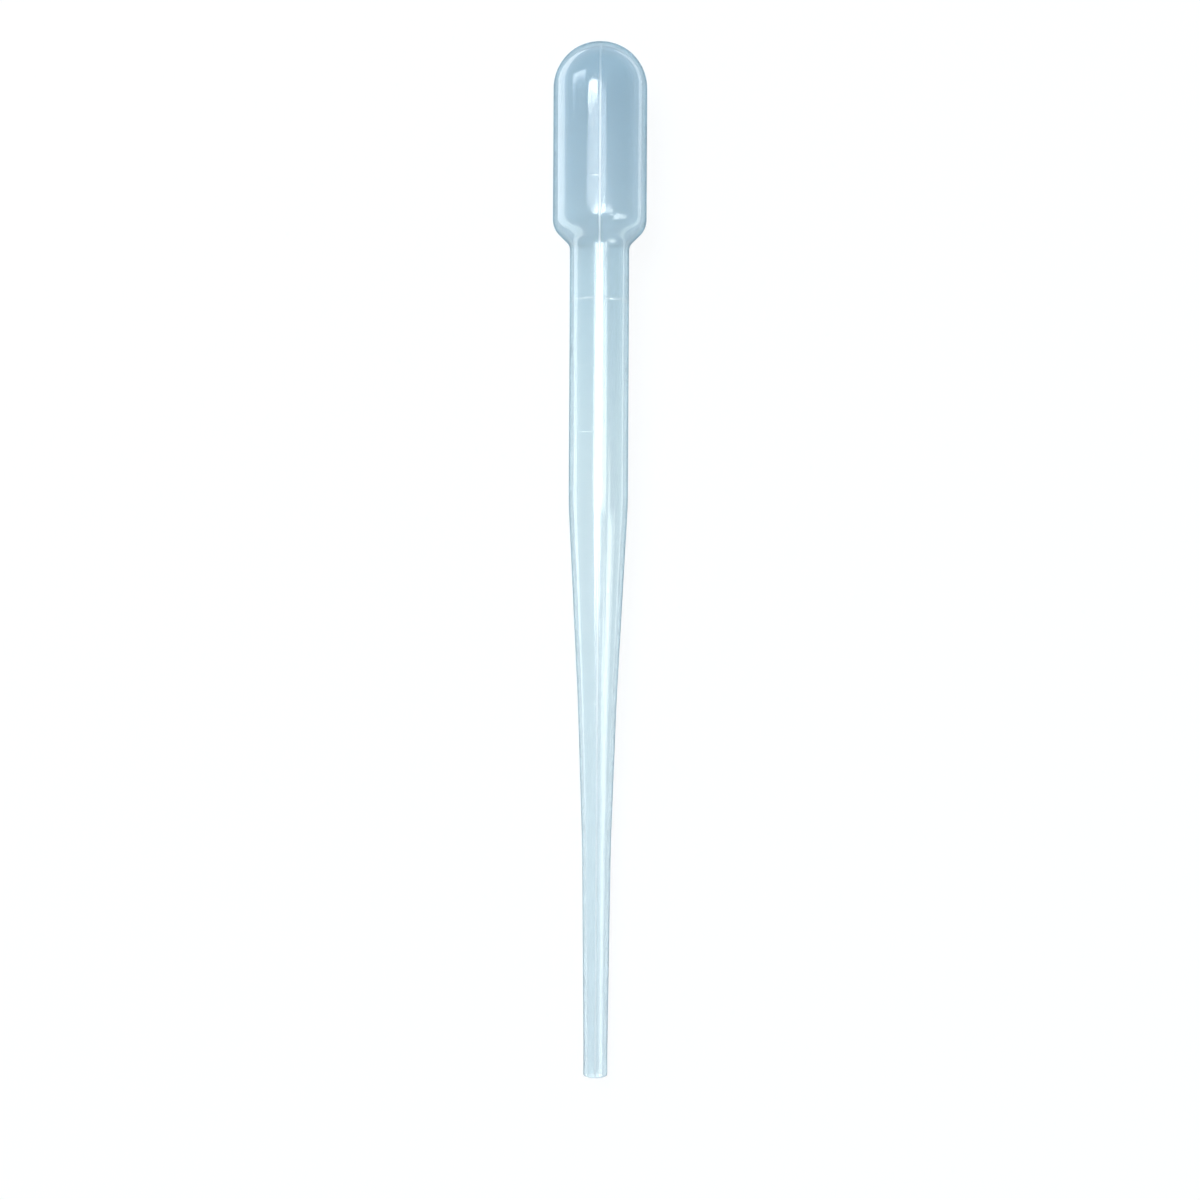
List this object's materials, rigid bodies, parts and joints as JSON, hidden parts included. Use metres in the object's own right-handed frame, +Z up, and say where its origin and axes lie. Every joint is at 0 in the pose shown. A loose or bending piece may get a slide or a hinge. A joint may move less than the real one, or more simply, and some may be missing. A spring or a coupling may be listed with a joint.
{
  "type": "dropper pipette",
  "caption": "One-piece translucent plastic dropper pipette with a squeeze bulb, a graduated barrel and a long tapered stem, lying on its side.",
  "frame": {"origin": "on the surface that the pipette lies on, under the middle of its length", "axes": "+Y along the pipette from the tip to the bulb, +Z up, with the mould's parting line along the top and the bottom"},
  "size_m": [0.0142, 0.155, 0.0149],
  "materials": {
    "pipette": "translucent moulded low-density polyethylene, semi-gloss"
  },
  "bodies": {
    "root": {"pipette": "pipette"}
  },
  "joints": []
}
